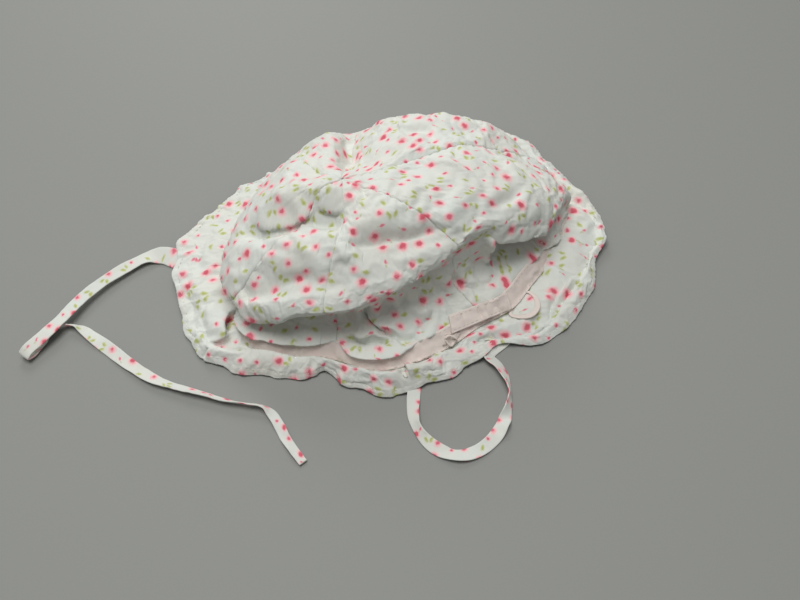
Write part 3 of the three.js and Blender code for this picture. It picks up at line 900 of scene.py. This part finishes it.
def printed_poplin():
    """Plain-woven cotton with a ditsy print: each cell of a Voronoi pattern holds one motif."""
    material, shader = new_material("printed cotton poplin", 0.9, 0.15)

    def math_node(operation, *values):
        node = add_node(
            material, "Math", {"operation": operation},
            **{"in_%d" % k: value for k, value in enumerate(values)},
        )
        return node.outputs[0]

    def plus(one, two):
        return math_node("ADD", one, two)

    def minus(one, two):
        return math_node("SUBTRACT", one, two)

    def times(one, two):
        return math_node("MULTIPLY", one, two)

    def vector_node(operation, **links):
        return add_node(material, "VectorMath", {"operation": operation}, **links).outputs[0]

    def soft_edge(distance, radius, blur):
        return add_node(
            material, "MapRange", {"interpolation_type": "SMOOTHSTEP"},
            Value=distance, **{"From Min": radius, "From Max": minus(radius, blur)},
        ).outputs[0]

    flat = add_node(material, "UVMap", {"uv_map": "cloth"}).outputs[0]
    wobble = add_noise(material, flat, 0.4, 2.0)
    centred = vector_node("SUBTRACT", in_0=wobble.outputs["Color"], in_1=(0.5, 0.5, 0.5))
    pushed = vector_node("SCALE", in_0=centred, Scale=MOTIF_WOBBLE)
    drawn = vector_node("ADD", in_0=flat, in_1=pushed)
    cells = add_node(
        material, "TexVoronoi", {"voronoi_dimensions": "2D", "feature": "F1"},
        Vector=drawn, Scale=1 / MOTIF_SPACING, Randomness=MOTIF_DISORDER,
    )
    kind, size_luck, turn_luck = add_node(material, "SeparateXYZ", in_0=cells.outputs["Color"]).outputs
    offset = vector_node("SUBTRACT", in_0=drawn, in_1=cells.outputs["Position"])
    turned = add_node(
        material, "VectorRotate", {"rotation_type": "Z_AXIS"},
        Vector=offset, Angle=times(turn_luck, 2 * math.pi),
    ).outputs[0]
    x, y, _ = add_node(material, "SeparateXYZ", in_0=turned).outputs

    def chosen(low, high):
        """1 in the cells whose kind is between two numbers, and 0 in the others."""
        return times(math_node("GREATER_THAN", kind, low), math_node("LESS_THAN", kind, high))

    def oval(centre_x, centre_y, half_x, half_y, lean, blur):
        """The share of ink in an oval leaf or bud."""
        cos = math.cos(lean)
        sin = math.sin(lean)
        dx = minus(x, centre_x)
        dy = minus(y, centre_y)
        along = plus(times(dx, cos), times(dy, sin))
        across = minus(times(dy, cos), times(dx, sin))
        squares = [
            math_node("POWER", math_node("ABSOLUTE", math_node("DIVIDE", far, half)), 2.0)
            for far, half in ((along, half_x), (across, half_y))
        ]
        reach = math_node("SQRT", plus(*squares))
        return soft_edge(reach, 1.0, blur)

    blot = add_noise(material, flat, 0.03, 3.0)
    colour = mix_colours(material, blot.outputs[0], linear("#D8E0DC"), linear("#DDDCD3"))

    def print_motif(colour, here, shapes):
        for shape, hexcode, strength in shapes:
            ink = times(times(shape, here), strength)
            colour = mix_colours(material, ink, colour, linear(hexcode))
        return colour

    # Rosettes: a pale halo, a pink ring and a rose heart set a little to one side
    for low, high, radius, luck, ring_ink, heart_ink, heart in (
        (0.0, 0.2, 4.0, 0.9, "#EE9DA6", "#D4566A", 0.5),
        (0.2, 0.42, 3.2, 0.7, "#F0A5AE", "#DA667A", 0.44),
        (0.42, 0.57, 2.1, 0.5, "#EB9CA8", "#D26278", 0.45),
    ):
        full = plus(radius, times(size_luck, luck))

        def disc(share, aside, blur):
            size = times(full, share)
            return oval(aside * radius, 0.0, size, times(size, 0.9), 0.4, blur)

        colour = print_motif(colour, chosen(low, high), (
            (disc(1.0, 0.0, 0.5), "#F2C9CA", 0.85),
            (disc(0.72, 0.0, 0.6), ring_ink, 0.75),
            (disc(heart, 0.06, 0.6), heart_ink, 0.9),
        ))

    # Buds: a slim pink oval with a short green stalk
    colour = print_motif(colour, chosen(0.57, 0.7), (
        (oval(1.9, 0.4, 1.3, 0.6, 0.3, 0.8), "#B6BE80", 0.7),
        (oval(-0.3, 0.0, 2.3, 1.35, 0.1, 0.7), "#F0C4C8", 0.85),
        (oval(-0.3, 0.0, 1.5, 0.8, 0.1, 0.6), "#DC7486", 0.85),
    ))

    # Leaves, in pairs and alone
    for low, high, lean, side in ((0.7, 0.87, 0.5, -1.6), (0.7, 0.87, -0.5, 1.6), (0.87, 1.01, 0.2, 0.0)):
        colour = print_motif(colour, chosen(low, high), (
            (oval(side, 0.0, 3.0, 1.8, lean + math.pi / 2, 0.7), "#D3D6B4", 0.8),
            (oval(side, 0.0, 2.3, 1.25, lean + math.pi / 2, 0.6), "#B9C07C", 0.8),
            (oval(side, 0.3, 1.2, 0.6, lean + math.pi / 2, 0.8), "#A3AB5C", 0.6),
        ))

    # The weave's threads both ways, and small creases
    weave = [add_ribs(material, flat, way, WEAVE_SCALE, 0.6) for way in "XY"]
    creases = add_noise(material, flat, 0.35, 3.0)
    height = plus(times(plus(*weave), 0.05), times(creases.outputs[0], 0.5))
    lay_on(material, shader, colour, height, 0.5, 0.6)
    return material


def cotton_tape():
    """Cream cotton tape, woven with fine ribs across its width."""
    material, shader = new_material("cotton twill tape", 0.85, 0.1)
    flat = add_node(material, "UVMap", {"uv_map": "cloth"}).outputs[0]
    blot = add_noise(material, flat, 0.08, 2.0)
    colour = mix_colours(material, blot.outputs[0], linear("#E2D6CF"), linear("#E9DFD9"))
    lay_on(material, shader, colour, add_ribs(material, flat, "X", 0.55, 1.0), 0.25, 0.3)
    return material


PRINT = printed_poplin()
TAPE = cotton_tape()


def finish(piece, material, slot, *nodes):
    piece.data.materials.append(material)
    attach(piece, "root")
    if nodes:
        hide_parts(*nodes)


# Ties

TIE_SIDES = 20
TIE_STEP = 0.7
TIE_PRINT = 1.2  # the ties' print is a little smaller
TIE_SEAM = 0.7  # where a tie's stitched edge lies, as a share of its half width
TIE_WAVER = 9  # by how many degrees its turn wavers
TIE_UNEVEN = 0.07  # by what share its width varies


def turns_at(turns, place):
    """A tie's turn and width at places of its route."""
    rows = np.array(turns, float)
    low = np.clip(np.searchsorted(rows[:, 0], place, side="right") - 1, 0, len(rows) - 2)
    share = (place - rows[low, 0]) / (rows[low + 1, 0] - rows[low, 0])
    share = (share * share * (3 - 2 * share))[:, None]
    return (rows[low, 1:] * (1 - share) + rows[low + 1, 1:] * share).T


def tie(name, route, turns, node, seed):
    """A flat tube of doubled cotton that follows its route and twists as it lies."""
    line, places, length = smooth_path(route, TIE_STEP)
    turn, width = turns_at(turns, places)
    turn = np.radians(turn + TIE_WAVER * value_noise(line, 14.0, seed))
    width = width * (1 + TIE_UNEVEN * value_noise(line, 7.0, seed + 1))
    across, up = level_frames(line)
    wide = across * np.cos(turn)[:, None] + up * np.sin(turn)[:, None]
    thin = up * np.cos(turn)[:, None] - across * np.sin(turn)[:, None]
    # A turned tie stands on its lower edge
    stand = np.maximum(0, np.abs(np.sin(turn)) * width / 2 - FLAT + 0.4)
    centre = line + np.array([0.0, 0.0, 1.0]) * stand[:, None]
    last = len(line) - 1

    def shape(u, v):
        ring_place = np.rint(v * last).astype(int)
        angle = u * 2 * math.pi
        near_end = np.minimum(ring_place, last - ring_place)
        thick = TIE_THICKNESS / 2 * np.where(near_end == 0, 0.0, 1.0)
        cos = np.cos(angle)
        sin = np.sin(angle)
        side = np.sign(cos) * np.abs(cos) ** 0.35
        rise = np.sign(sin) * np.abs(sin) ** 0.6
        stitch = bell(np.abs(side), TIE_SEAM, 0.1)
        cup = 0.35 * value_noise(centre[ring_place], 11.0, seed + 2) * (side**2 - 0.4)
        height = rise * thick * (1 - 0.35 * stitch) + cup
        wave = 0.18 * value_noise(centre[ring_place] + wide[ring_place] * side[:, None] * 2, 2.6, seed + 3)
        points = (
            centre[ring_place]
            + wide[ring_place] * (side * width[ring_place] / 2)[:, None]
            + thin[ring_place] * (height + wave)[:, None]
        )
        flat = np.stack([side * TIE_WIDTH / 2 + 8 * (sin < 0), ring_place * TIE_STEP], -1)
        return above_floor(points, 0.1, 0.25), flat * TIE_PRINT + (40 * seed, 3000)

    piece = grid_piece(name, TIE_SIDES, last, shape, closed=True)
    finish(piece, PRINT, "printed_cotton", node)


tie("left_tie", LEFT_ROUTE, LEFT_TURNS, "tie_left", 11)
tie("right_tie", RIGHT_ROUTE, RIGHT_TURNS, "tie_right", 23)


# Crown


def seam_direction(seam, place):
    """Where a crown seam runs, as its direction at each place."""
    top, roll, head = seam
    return np.where(
        place < 2,
        top + (roll - top) * ramp(place, 0, 2),
        roll + (head - roll) * ramp(place, 2, HEAD_SEAM),
    )


# Columns and rows of each gore, fewer at the hidden back
GORE_GRIDS = ((110, 140), (70, 90), (70, 90), (110, 140), (110, 140), (120, 140))
CROWN_START = 0.02
SEAM_GROOVE = 0.6  # depth and half width of the groove along a seam
GORE_TURN = 47  # degrees from one gore's cut in the printed cloth to the next one's
# How firmly a gore's body keeps its place as it buckles: the hidden back, the top and the wall
BACK_GORES = (1, 2)
BACK_HOLD = 0.3
TOP_HOLD = 0.09
WALL_HOLD = 0.21
# The cloth beside the slit at the upper right is held more
SLIT_DIRECTION = 25
SLIT_PLACE = 2.7
SLIT_HOLD = 0.6


def gore_place(index, u, v):
    """The direction and place on the cloth of a gore's point."""
    place = CROWN_START + v * (HEAD_SEAM - CROWN_START)
    low = seam_direction(CROWN_SEAMS[index], place)
    high = seam_direction(CROWN_SEAMS[(index + 1) % 6], place) + (TURN if index == 5 else 0)
    return low + (high - low) * u, place


def flat_gore(index):
    """A gore's flat layout, in millimetres."""
    rows, columns = 56, 34
    u, v = unit_grid(rows, columns)
    points = cloth(*gore_place(index, u.ravel(), v.ravel())).reshape(rows, columns, 3)
    down = lengths(points, 0)
    across = lengths(points, 1)
    across -= across[:, -1:] / 2
    return flatten(points, np.stack([across, down], -1))


def crown_panel(index):
    layout = flat_gore(index)
    turn = math.radians(GORE_TURN * index)
    spin = np.array([[math.cos(turn), math.sin(turn)], [-math.sin(turn), math.cos(turn)]])
    widths = np.linalg.norm(np.diff(layout, axis=1), axis=-1).sum(axis=1)

    def from_seam(u, v):
        return np.minimum(u, 1 - u) * np.interp(v, np.linspace(0, 1, len(widths)), widths)

    def shape(u, v):
        groove = SEAM_GROOVE * bell(from_seam(u, v), 0, SEAM_GROOVE)
        points = cloth(*gore_place(index, u, v), -groove)
        return points, spread(layout, u, v) @ spin + (230 * index + 150, 400)

    def hold(u, v):
        place = v * HEAD_SEAM
        wall = ramp(place, 3.0, 3.6)
        body = BACK_HOLD if index in BACK_GORES else TOP_HOLD + (WALL_HOLD - TOP_HOLD) * wall
        edges = np.exp(-from_seam(u, v) / 1.2) + ramp(place, 4.6, 5.1) + ramp(place, 0.12, 0.0)
        direction, _ = gore_place(index, u, v)
        beside_slit = bell(direction % TURN, SLIT_DIRECTION, 9) * bell(place, SLIT_PLACE, 0.3)
        return body + edges + SLIT_HOLD * beside_slit

    piece = grid_piece("crown_gore_%d" % (index + 1), *GORE_GRIDS[index], shape, hold=hold)
    thicken(piece, COTTON)
    finish(piece, PRINT, "printed_cotton", "crown_panel_%d" % (index + 1))


for number in range(6):
    crown_panel(number)


# Brim

BACK = 95.0  # the hidden back, where the closed rings start


def flat_brim():
    """The brim's flat layout, an open ring."""
    rows, columns = 34, 300
    u, v = unit_grid(rows, columns)
    place = HEAD_SEAM + v.ravel() * (HEM - HEAD_SEAM)
    points = cloth(BACK + u.ravel() * TURN, place).reshape(rows, columns, 3)
    down = lengths(points, 0)
    down = down[-1].mean() * v
    across = lengths(points, 1)[rows // 2]
    opening = 4.5  # the angle of the open ring, in radians
    inner = lengths(points, 1)[0, -1] / opening
    turned = across / across[-1] * opening
    start = np.stack([(inner + down) * np.cos(turned), (inner + down) * np.sin(turned)], -1)
    return flatten(points, start, 800)


HEM_WIDTH = 2.3  # from the hem's edge to its line of stitches
HEM_PUCKERS = 0.62  # for each degree round the hem
FRONT_SHARE = 0.32  # how much closer together the columns of a ring are along the front


def brim_direction(u):
    """Directions round the brim, closer together along the front."""
    return BACK + TURN * (u + FRONT_SHARE * np.sin(2 * math.pi * u) / (2 * math.pi))


def hem_form(direction, place):
    """The turned hem: thicker than the brim, drawn in at its stitches and slightly puckered."""
    inward = (HEM - place) * BRIM_STEP
    level = 0 * direction
    pucker = value_noise(np.stack([direction * HEM_PUCKERS, level, level], -1), 1.0, 41)
    inside = ramp(inward, HEM_WIDTH + 0.4, HEM_WIDTH - 0.5)
    drawn_in = bell(inward, HEM_WIDTH, 0.55)
    reach = ramp(inward, HEM_WIDTH + 4.0, HEM_WIDTH)
    return 0.12 * inside - 0.16 * drawn_in + 0.35 * pucker * reach


# How firmly the brim's body and its hem keep their place as it buckles
BRIM_HOLD = 0.06
HEM_HOLD = 0.45


def brim():
    rows_spread = 0.85  # its rows are closer together towards the hem
    layout = flat_brim()

    def spot(u, v):
        row = 1 - (1 - v) * (rows_spread + (1 - rows_spread) * (1 - v))
        return brim_direction(u), HEAD_SEAM + row * (HEM - HEAD_SEAM)

    def shape(u, v):
        direction, place = spot(u, v)
        points = cloth(direction, place, hem_form(direction, place))
        across = np.clip((direction - BACK) / TURN, 0, 1)
        down = (place - HEAD_SEAM) / (HEM - HEAD_SEAM)
        return points, spread(layout, across, down) + (600, 1200)

    def hold(u, v):
        _, place = spot(u, v)
        return BRIM_HOLD + ramp(place, 7.3, 6.8) + HEM_HOLD * ramp(place, 10.4, 10.9)

    piece = grid_piece("brim_cloth", 840, 54, shape, closed=True, hold=hold)
    thicken(piece, COTTON)
    finish(piece, PRINT, "printed_cotton", "brim")


brim()


# Head tape

TAPE_LIFT = 0.9
TAPE_LENGTH = 510  # as its ribs are laid out, round the hat
TAPE_SEAM = 0.76  # from the middle of the tape to its stitches, as a share of its half width
# Directions where the tape is folded across its width, how wide each fold is and how high
TAPE_RIDGES = ((335, 1.3, 1.6), (344, 1.0, 0.8), (304, 1.4, 0.7), (288, 1.6, 0.5), (262, 1.5, 0.6))


def tape_wave(direction, place):
    """How the tape stands off its cloth: small waves, ridges across and edges that curl up."""
    base = cloth_base(direction, place)
    across = np.abs(place - HEAD_SEAM)
    wave = 0.4 * value_noise(base, 5.5, 31) + 0.22 * value_noise(base, 2.6, 32) + 0.15 * across**4
    for ridge, width, height in TAPE_RIDGES:
        wave += height * bell(apart(direction, ridge), 0, width)
    return wave


def tape():
    def shape(u, v):
        direction = brim_direction(u)
        place = HEAD_SEAM + (2 * v - 1)
        points = cloth(direction, place, TAPE_LIFT + tape_wave(direction, place), True)
        return points, np.stack([u * TAPE_LENGTH, v * TAPE_WIDTH], -1)

    piece = grid_piece("tape", 820, 14, shape, closed=True)
    thicken(piece, TAPE_THICKNESS)
    finish(piece, TAPE, "cream_tape", "head_tape")


CREASE_SLANT = 0.06  # how far a crease slants across the tape, as a share of the end's length


def tape_patch(name, corners, width, creases, *nodes):
    """A flat end of tape between four corners, given as directions, places and heights. Creases
    cross it at shares of its length, each with its half width and its height."""
    spots = np.array(corners, float)
    upper, lower, far_upper, far_lower = cloth(spots[:, 0], spots[:, 1], spots[:, 2], True)
    length = np.linalg.norm(far_upper - upper)
    rise = np.cross(far_upper - upper, upper - lower)
    rise /= np.linalg.norm(rise)

    def surface(u, v, over=0.0):
        u = u[:, None]
        v = v[:, None]
        points = (upper * (1 - v) + lower * v) * (1 - u) + (far_upper * (1 - v) + far_lower * v) * u
        height = over + 0.7 * value_noise(points, 6.0, 61) + 0.4 * value_noise(points, 2.4, 62)
        for share, half_width, lift in creases:
            height += lift * bell((u[:, 0] - CREASE_SLANT * v[:, 0]) * length, share * length, half_width)
        return points + rise * height[:, None]

    def shape(u, v):
        return surface(u, v), np.stack([u * length, v * width], -1)

    piece = grid_piece(name, 60, 20, shape, flip=rise[2] > 0)
    thicken(piece, TAPE_THICKNESS)
    finish(piece, TAPE, "cream_tape", *nodes)
    return surface


tape()
lap_surface = tape_patch(
    "tape_end",
    ((317.2, 4.8, 2.2), (313.8, 5.85, 2.8), (338.0, 5.3, 1.9), (335.3, 6.9, 1.9)),
    TAPE_WIDTH,
    ((0.2, 0.9, -0.5), (0.46, 0.8, -1.1), (0.54, 1.3, 0.9), (0.76, 0.9, -1.0), (0.85, 1.4, 1.2)),
    "tape_lap",
)
tape_patch(
    "tape_tail",
    ((311.4, 5.5, 2.0), (308.6, 6.3, 2.2), (317.0, 6.2, 1.8), (313.4, 7.5, 1.8)),
    8.0,
    ((0.5, 1.0, -0.6),),
)
# Loose bits of the tape's edge: broadest width, then directions, places and heights over the cloth
LOOSE_EDGES = (
    (3.2, ((336.4, 6.75, 0.7), (333.6, 7.2, 0.8), (332.8, 7.8, 1.0), (334.6, 8.15, 1.3), (337.8, 8.1, 1.6),
           (340.8, 7.7, 1.6), (342.6, 7.15, 1.2), (342.8, 6.8, 0.8))),
    (1.6, ((310.2, 5.85, 3.3), (312.2, 5.8, 3.5), (314.2, 6.5, 3.3), (313.2, 7.1, 3.1), (311.0, 6.8, 3.2),
           (310.1, 6.0, 3.3))),
)
EDGE_LEAN = 0.2
EDGE_THICKNESS = 0.45


def loose_edge(number, width, spots):
    spots = np.array(spots, float)
    route = cloth(spots[:, 0], spots[:, 1], spots[:, 2], True)
    line, _, _ = smooth_path(route, 0.5)
    across, up = level_frames(line)
    last = len(line) - 1
    wide = across * math.cos(EDGE_LEAN) + up * math.sin(EDGE_LEAN)

    def shape(u, v):
        spot = np.rint(v * last).astype(int)
        broad = width * (0.3 + 0.7 * np.sin(math.pi * v))
        points = line[spot] + wide[spot] * ((u - 0.5) * broad)[:, None]
        return points, np.stack([u * width, v * last * 0.5], -1)

    piece = grid_piece("tape_loose_edge_%d" % number, 4, last, shape)
    thicken(piece, EDGE_THICKNESS)
    finish(piece, TAPE, "cream_tape")


for number, (width, spots) in enumerate(LOOSE_EDGES):
    loose_edge(number + 1, width, spots)


# Stitches

THREAD = 0.17  # half the thickness of the thread
# A stitch's length and the gap to the next one
TAPE_STITCH = (2.0, 0.8)
HEM_STITCH = (1.9, 0.7)
PROUD = 0.05  # how far a thread's middle is over the cloth


def stitches(name, material, line, length, gap, slot):
    """Stitches along a line of points, each a small rounded bar of thread."""
    run = running(line)
    form = bmesh.new()
    for k in range(int(run[-1] / (length + gap))):
        ends = k * (length + gap) + np.array([0, length])
        a, b = np.stack([np.interp(ends, run, line[:, axis]) for axis in range(3)], -1)
        way = Vector(b - a)
        turn = way.to_track_quat("X", "Z").to_matrix().to_4x4()
        size = Matrix.Diagonal((way.length / 2 * MM, THREAD * MM, THREAD * MM, 1))
        spot = Matrix.Translation(Vector((a + b) / 2 * MM))
        bmesh.ops.create_icosphere(form, subdivisions=1, radius=1, matrix=spot @ turn @ size)
    finish(smooth_piece(name, mesh_from(form, name)), material, slot)


ROUND = brim_direction(np.linspace(0, 1, 2400))


def tape_line(place):
    """Where a row of stitches runs on the tape."""
    place = np.full(len(ROUND), float(place))
    return cloth(ROUND, place, TAPE_LIFT + TAPE_THICKNESS / 2 + tape_wave(ROUND, place), True)


def hem_line(place):
    """Where the row of stitches runs on the hem."""
    place = np.full(len(ROUND), float(place))
    return cloth(ROUND, place, hem_form(ROUND, place) + COTTON / 2 + PROUD)


CREAM_THREAD = plain_material("cream cotton thread", 0.7, "#D2C6BC")
WHITE_THREAD = plain_material("white cotton thread", 0.7, "#E6E6E0")
for name, side in (("upper", -TAPE_SEAM), ("lower", TAPE_SEAM)):
    line = tape_line(HEAD_SEAM + side)
    stitches("tape_stitches_" + name, CREAM_THREAD, line, *TAPE_STITCH, "cream_tape")
line = hem_line(HEM - HEM_WIDTH / BRIM_STEP)
stitches("hem_stitches", WHITE_THREAD, line, *HEM_STITCH, "printed_cotton")
along = np.linspace(0.03, 0.97, 80)
for number, share in enumerate((0.15, 0.85)):
    line = lap_surface(along, np.full(80, share), TAPE_THICKNESS / 2 + PROUD)
    stitches("tape_end_stitches_%d" % (number + 1), CREAM_THREAD, line, *HEM_STITCH, "cream_tape")


# Floor and light

SOFT_WHITE = (1.0, 0.99, 0.97)


def lay_floor():
    form = bmesh.new()
    bmesh.ops.create_grid(form, x_segments=1, y_segments=1, size=3)
    floor = add_object("floor", mesh_from(form, "floor"))
    floor.data.materials.append(plain_material("matt laminate", 0.6, "#8E908D"))


def area_light(name, place, size, power):
    """A square lamp that faces the hat."""
    data = bpy.data.lights.new(name, "AREA")
    data.size = size
    data.energy = power
    data.color = SOFT_WHITE
    light = add_object(name, data)
    light.location = place
    light.rotation_euler = (-Vector(place)).to_track_quat("-Z", "Y").to_euler()


lay_floor()
area_light("ceiling", (-0.18, 0.08, 1.45), size=0.9, power=15)
area_light("window", (-0.3, 1.25, 0.85), size=0.6, power=7)
world = bpy.data.worlds.new("room")
bpy.context.scene.world = world
world.use_nodes = True
room = world.node_tree.nodes["Background"]
room.inputs["Color"].default_value = SOFT_WHITE + (1,)
room.inputs["Strength"].default_value = 0.225
bpy.context.scene.view_settings.view_transform = "Standard"
